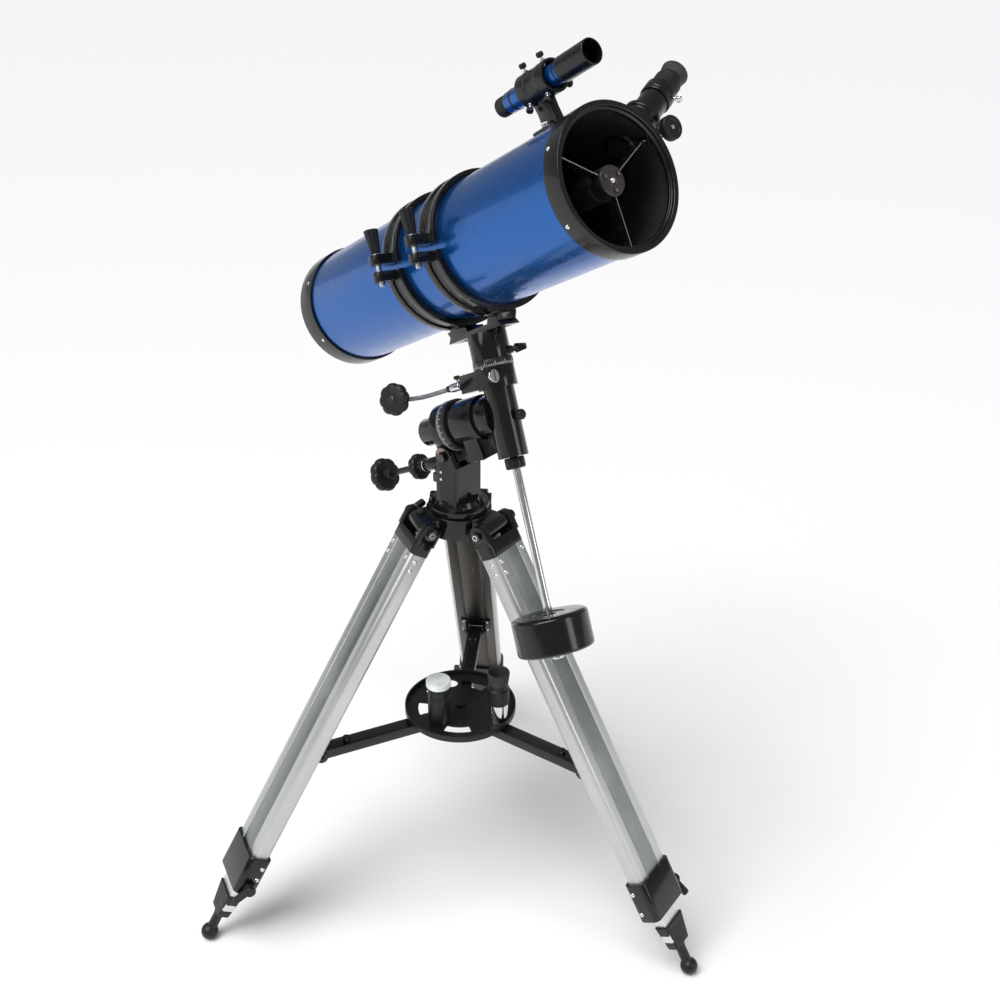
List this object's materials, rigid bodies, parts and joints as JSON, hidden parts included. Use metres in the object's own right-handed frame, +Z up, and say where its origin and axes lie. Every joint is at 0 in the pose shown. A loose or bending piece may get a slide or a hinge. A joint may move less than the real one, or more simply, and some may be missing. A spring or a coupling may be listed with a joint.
{
  "type": "newtonian reflector telescope",
  "caption": "Newtonian reflector telescope with a finder scope on a German equatorial mount with a counterweight, on a folding aluminium tripod with an accessory tray.",
  "frame": {"origin": "on the floor, below the tripod's vertical axis", "axes": "+Z up; +Y towards the rear leg; +X to the right as seen from the front, the side away from the rear leg"},
  "size_m": [0.8104, 0.7194, 1.398],
  "materials": {
    "black_plastic": "moulded",
    "black_steel": "semi-gloss black",
    "cable_grey": "ribbed sheath",
    "chrome": "bright",
    "circle_black": "anodised, engraved scale",
    "extension_aluminium": "satin",
    "eyepiece_black": "black with bright barrel",
    "leg_aluminium": "satin anodised",
    "mirror": "aluminised glass",
    "steel_pressing": "black pressed sheet",
    "tube_blue": "glossy metallic blue",
    "tube_trim_black": "glossy black die casting",
    "weight_iron": "glossy black enamel"
  },
  "bodies": {
    "tripod_head": {"tripod_head": "tube_trim_black"},
    "leg_left": {"leg_left_channel": "leg_aluminium", "leg_left_castings": "tube_trim_black"},
    "leg_left_bolt": {"leg_left_hinge_bolt": "chrome"},
    "leg_left_ext": {"leg_left_extension": "extension_aluminium", "leg_left_foot": "black_plastic"},
    "leg_left_clamp": {"leg_left_clamp_screw": "black_steel"},
    "arm_left": {"spreader_arm_left": "steel_pressing"},
    "leg_right": {"leg_right_channel": "leg_aluminium", "leg_right_castings": "tube_trim_black"},
    "leg_right_bolt": {"leg_right_hinge_bolt": "chrome"},
    "leg_right_ext": {"leg_right_extension": "extension_aluminium", "leg_right_foot": "black_plastic"},
    "leg_right_clamp": {"leg_right_clamp_screw": "black_steel"},
    "arm_right": {"spreader_arm_right": "steel_pressing"},
    "leg_back": {"leg_back_channel": "leg_aluminium", "leg_back_castings": "tube_trim_black"},
    "leg_back_bolt": {"leg_back_hinge_bolt": "chrome"},
    "leg_back_ext": {"leg_back_extension": "extension_aluminium", "leg_back_foot": "black_plastic"},
    "leg_back_clamp": {"leg_back_clamp_screw": "black_steel"},
    "arm_back": {"spreader_arm_back": "steel_pressing"},
    "tray": {"accessory_tray": "black_plastic"},
    "spare_eyepiece": {"spare_eyepiece": "eyepiece_black"},
    "barlow_lens": {"barlow_lens": "eyepiece_black"},
    "azimuth": {"azimuth_base": "tube_trim_black", "mount_bolts": "chrome"},
    "latitude_screw": {"latitude_screw": "black_steel"},
    "latitude_lock": {"latitude_lock_knob": "black_plastic"},
    "ra_housing": {"ra_housing": "tube_trim_black"},
    "ra_worm": {"ra_worm": "chrome"},
    "ra_circle": {"ra_setting_circle": "circle_black"},
    "dec_housing": {"dec_housing": "tube_trim_black", "counterweight_shaft": "chrome", "dec_cable": "cable_grey"},
    "ra_lock": {"ra_lock_knob": "black_plastic"},
    "dec_worm": {"dec_worm": "chrome"},
    "dec_knob": {"dec_knob": "black_plastic"},
    "counterweight": {"counterweight": "weight_iron"},
    "dec_head": {"dec_head": "tube_trim_black", "saddle_plate": "tube_trim_black", "ring_lower_halves": "tube_trim_black"},
    "dec_circle": {"dec_setting_circle": "circle_black"},
    "dec_lock": {"dec_lock_lever": "chrome"},
    "ring_rear": {"ring_upper_rear": "tube_trim_black"},
    "ring_knob_rear": {"ring_knob_rear": "black_plastic"},
    "ring_front": {"ring_upper_front": "tube_trim_black"},
    "ring_knob_front": {"ring_knob_front": "black_plastic"},
    "tube": {"main_tube": "tube_blue", "front_ring": "tube_trim_black", "rear_cell": "tube_trim_black", "spider": "black_steel", "focuser_base": "tube_trim_black", "finder_bracket": "tube_trim_black"},
    "primary_mirror": {"primary_mirror": "mirror"},
    "secondary_mirror": {"secondary_mirror": "mirror"},
    "focuser": {"focuser_drawtube": "chrome"},
    "focuser_knobs": {"focuser_knobs": "black_plastic"},
    "eyepiece": {"eyepiece": "eyepiece_black"},
    "finder": {"finder_tube": "tube_blue"}
  },
  "joints": [
    {"name": "leg_left_fold", "type": "hinge", "parent": "tripod_head", "child": "leg_left", "pos_m": [-0.05335, -0.0308, 0.6895], "axis": [0.5, -0.866, 0], "range_deg": [0, 10]},
    {"name": "leg_left_bolt_turn", "type": "hinge", "parent": "tripod_head", "child": "leg_left_bolt", "pos_m": [-0.05335, -0.0308, 0.6895], "axis": [-0.5, 0.866, 0], "range_deg": [0, 90]},
    {"name": "leg_left_extend", "type": "slide", "parent": "leg_left", "child": "leg_left_ext", "axis": [-0.433, -0.25, -0.866], "range_m": [0, 0.3]},
    {"name": "leg_left_clamp_turn", "type": "hinge", "parent": "leg_left", "child": "leg_left_clamp", "pos_m": [-0.31697, -0.22919, 0.12225], "axis": [0.5, -0.866, 0], "range_deg": [0, 90]},
    {"name": "arm_left_swing", "type": "hinge", "parent": "leg_left", "child": "arm_left", "pos_m": [-0.21285, -0.12289, 0.31548], "axis": [0.5, -0.866, 0], "range_deg": [0, 28]},
    {"name": "leg_right_fold", "type": "hinge", "parent": "tripod_head", "child": "leg_right", "pos_m": [0.05335, -0.0308, 0.6895], "axis": [0.5, 0.866, 0], "range_deg": [0, 10]},
    {"name": "leg_right_bolt_turn", "type": "hinge", "parent": "tripod_head", "child": "leg_right_bolt", "pos_m": [0.05335, -0.0308, 0.6895], "axis": [0.5, 0.866, 0], "range_deg": [0, 90]},
    {"name": "leg_right_extend", "type": "slide", "parent": "leg_right", "child": "leg_right_ext", "axis": [0.433, -0.25, -0.866], "range_m": [0, 0.3]},
    {"name": "leg_right_clamp_turn", "type": "hinge", "parent": "leg_right", "child": "leg_right_clamp", "pos_m": [0.35697, -0.15991, 0.12225], "axis": [0.5, 0.866, 0], "range_deg": [0, 90]},
    {"name": "arm_right_swing", "type": "hinge", "parent": "leg_right", "child": "arm_right", "pos_m": [0.21285, -0.12289, 0.31548], "axis": [0.5, 0.866, 0], "range_deg": [0, 28]},
    {"name": "leg_back_fold", "type": "hinge", "parent": "tripod_head", "child": "leg_back", "pos_m": [0, 0.0616, 0.6895], "axis": [-1, 0, 0], "range_deg": [0, 10]},
    {"name": "leg_back_bolt_turn", "type": "hinge", "parent": "tripod_head", "child": "leg_back_bolt", "pos_m": [0, 0.0616, 0.6895], "axis": [-1, 0, 0], "range_deg": [0, 90]},
    {"name": "leg_back_extend", "type": "slide", "parent": "leg_back", "child": "leg_back_ext", "axis": [0, 0.5, -0.866], "range_m": [0, 0.3]},
    {"name": "leg_back_clamp_turn", "type": "hinge", "parent": "leg_back", "child": "leg_back_clamp", "pos_m": [-0.04, 0.3891, 0.12225], "axis": [-1, 0, 0], "range_deg": [0, 90]},
    {"name": "arm_back_swing", "type": "hinge", "parent": "leg_back", "child": "arm_back", "pos_m": [0, 0.24578, 0.31548], "axis": [-1, 0, 0], "range_deg": [0, 28]},
    {"name": "tray_rise", "type": "slide", "parent": "tripod_head", "child": "tray", "axis": [0, 0, 1], "range_m": [0, 0.102]},
    {"name": "spare_eyepiece_lift", "type": "slide", "parent": "tray", "child": "spare_eyepiece", "axis": [0, 0, 1], "range_m": [0, 0.025]},
    {"name": "barlow_lift", "type": "slide", "parent": "tray", "child": "barlow_lens", "axis": [0, 0, 1], "range_m": [0, 0.06]},
    {"name": "azimuth_turn", "type": "hinge", "parent": "tripod_head", "child": "azimuth", "pos_m": [0, 0, 0.711], "axis": [0, 0, 1], "range_deg": [-15, 15]},
    {"name": "latitude_screw_turn", "type": "hinge", "parent": "azimuth", "child": "latitude_screw", "pos_m": [-0.08535, 0.05822, 0.73573], "axis": [0.7374, -0.503, 0.4509], "range_deg": [-470, 1400]},
    {"name": "latitude_lock_turn", "type": "hinge", "parent": "azimuth", "child": "latitude_lock", "pos_m": [-0.06544, 0.04464, 0.74791], "axis": [0.7374, -0.503, 0.4509], "range_deg": [0, 180]},
    {"name": "latitude", "type": "hinge", "parent": "azimuth", "child": "ra_housing", "pos_m": [-0.00496, 0.00338, 0.797], "axis": [-0.5635, -0.8261, 0], "range_deg": [-5, 15]},
    {"name": "ra_worm_turn", "type": "hinge", "parent": "ra_housing", "child": "ra_worm", "pos_m": [0.03938, -0.02686, 0.83161], "axis": [0.5635, 0.8261, 0], "continuous": true},
    {"name": "ra_circle_turn", "type": "hinge", "parent": "ra_housing", "child": "ra_circle", "pos_m": [0, 0, 0.8417], "axis": [0.7374, -0.503, 0.4509], "continuous": true},
    {"name": "ra_axis", "type": "hinge", "parent": "ra_housing", "child": "dec_housing", "pos_m": [0.04424, -0.03018, 0.86875], "axis": [0.7374, -0.503, 0.4509], "range_deg": [-79, 80]},
    {"name": "ra_lock_turn", "type": "hinge", "parent": "dec_housing", "child": "ra_lock", "pos_m": [0.09521, -0.06677, 0.89163], "axis": [0.7374, -0.503, 0.4509], "range_deg": [0, 90]},
    {"name": "dec_worm_turn", "type": "hinge", "parent": "dec_housing", "child": "dec_worm", "pos_m": [0.02698, -0.037, 0.92553], "axis": [0.7374, -0.503, 0.4509], "continuous": true},
    {"name": "dec_knob_turn", "type": "hinge", "parent": "dec_housing", "child": "dec_knob", "pos_m": [-0.0846, -0.04865, 0.89869], "axis": [-0.3973, -0.85, 0.3459], "continuous": true},
    {"name": "counterweight_slide", "type": "slide", "parent": "dec_housing", "child": "counterweight", "axis": [-0.2598, 0.4049, 0.8767], "range_m": [0, 0.19]},
    {"name": "dec_axis", "type": "hinge", "parent": "dec_housing", "child": "dec_head", "pos_m": [0.07101, -0.04844, 0.88512], "axis": [-0.2598, 0.4049, 0.8767], "range_deg": [-180, 180]},
    {"name": "dec_circle_turn", "type": "hinge", "parent": "dec_head", "child": "dec_circle", "pos_m": [0.05282, -0.02009, 0.94649], "axis": [-0.2598, 0.4049, 0.8767], "continuous": true},
    {"name": "dec_lock_turn", "type": "hinge", "parent": "dec_head", "child": "dec_lock", "pos_m": [0.08249, -0.01396, 0.96956], "axis": [0.959, 0.0017, 0.2835], "range_deg": [0, 60]},
    {"name": "ring_rear_open", "type": "hinge", "parent": "dec_head", "child": "ring_rear", "pos_m": [0.05623, 0.14832, 1.05553], "axis": [-0.6111, 0.634, -0.4739], "range_deg": [0, 100]},
    {"name": "ring_knob_rear_turn", "type": "hinge", "parent": "ring_rear", "child": "ring_knob_rear", "pos_m": [-0.11754, 0.01419, 1.10019], "axis": [-0.2598, 0.4049, 0.8767], "range_deg": [0, 90]},
    {"name": "ring_front_open", "type": "hinge", "parent": "dec_head", "child": "ring_front", "pos_m": [0.11704, 0.08524, 1.10269], "axis": [-0.6111, 0.634, -0.4739], "range_deg": [0, 100]},
    {"name": "ring_knob_front_turn", "type": "hinge", "parent": "ring_front", "child": "ring_knob_front", "pos_m": [-0.05674, -0.04889, 1.14735], "axis": [-0.2598, 0.4049, 0.8767], "range_deg": [0, 90]},
    {"name": "tube_turn", "type": "hinge", "parent": "dec_head", "child": "tube", "pos_m": [0.01049, 0.04587, 1.08929], "axis": [0.6111, -0.634, 0.4739], "continuous": true},
    {"name": "primary_shift", "type": "slide", "parent": "tube", "child": "primary_mirror", "axis": [0.6111, -0.634, 0.4739], "range_m": [-0.0015, 0.0015]},
    {"name": "secondary_turn", "type": "hinge", "parent": "tube", "child": "secondary_mirror", "pos_m": [0.1755, -0.1253, 1.21726], "axis": [0.6111, -0.634, 0.4739], "range_deg": [-10, 10]},
    {"name": "focus", "type": "slide", "parent": "tube", "child": "focuser", "axis": [0.435, 0.7692, 0.468], "range_m": [-0.02, 0.03]},
    {"name": "focus_knob_turn", "type": "hinge", "parent": "tube", "child": "focuser_knobs", "pos_m": [0.25359, -0.01553, 1.26339], "axis": [0.6111, -0.634, 0.4739], "range_deg": [-175, 260]},
    {"name": "eyepiece_pull", "type": "slide", "parent": "focuser", "child": "eyepiece", "axis": [0.435, 0.7692, 0.468], "range_m": [0, 0.05]},
    {"name": "finder_tilt", "type": "hinge", "parent": "tube", "child": "finder", "pos_m": [0.12452, -0.07466, 1.34439], "axis": [-0.4559, 0.2076, 0.8655], "range_deg": [-1.2, 1.2]}
  ],
  "couplings": [
    {"joint": "arm_left_swing", "follows": "leg_left_fold", "ratio": 2.7},
    {"joint": "leg_right_fold", "follows": "leg_left_fold", "ratio": 1},
    {"joint": "arm_right_swing", "follows": "leg_left_fold", "ratio": 2.7},
    {"joint": "leg_back_fold", "follows": "leg_left_fold", "ratio": 1},
    {"joint": "arm_back_swing", "follows": "leg_left_fold", "ratio": 2.7},
    {"joint": "tray_rise", "follows": "leg_left_fold", "m_per_rad": 0.57296},
    {"joint": "latitude_screw_turn", "follows": "latitude", "ratio": 93},
    {"joint": "ra_worm_turn", "follows": "ra_axis", "ratio": 130},
    {"joint": "dec_worm_turn", "follows": "dec_axis", "ratio": 120},
    {"joint": "dec_knob_turn", "follows": "dec_axis", "ratio": 120},
    {"joint": "focus_knob_turn", "follows": "focus", "rad_per_m": 149.3}
  ]
}
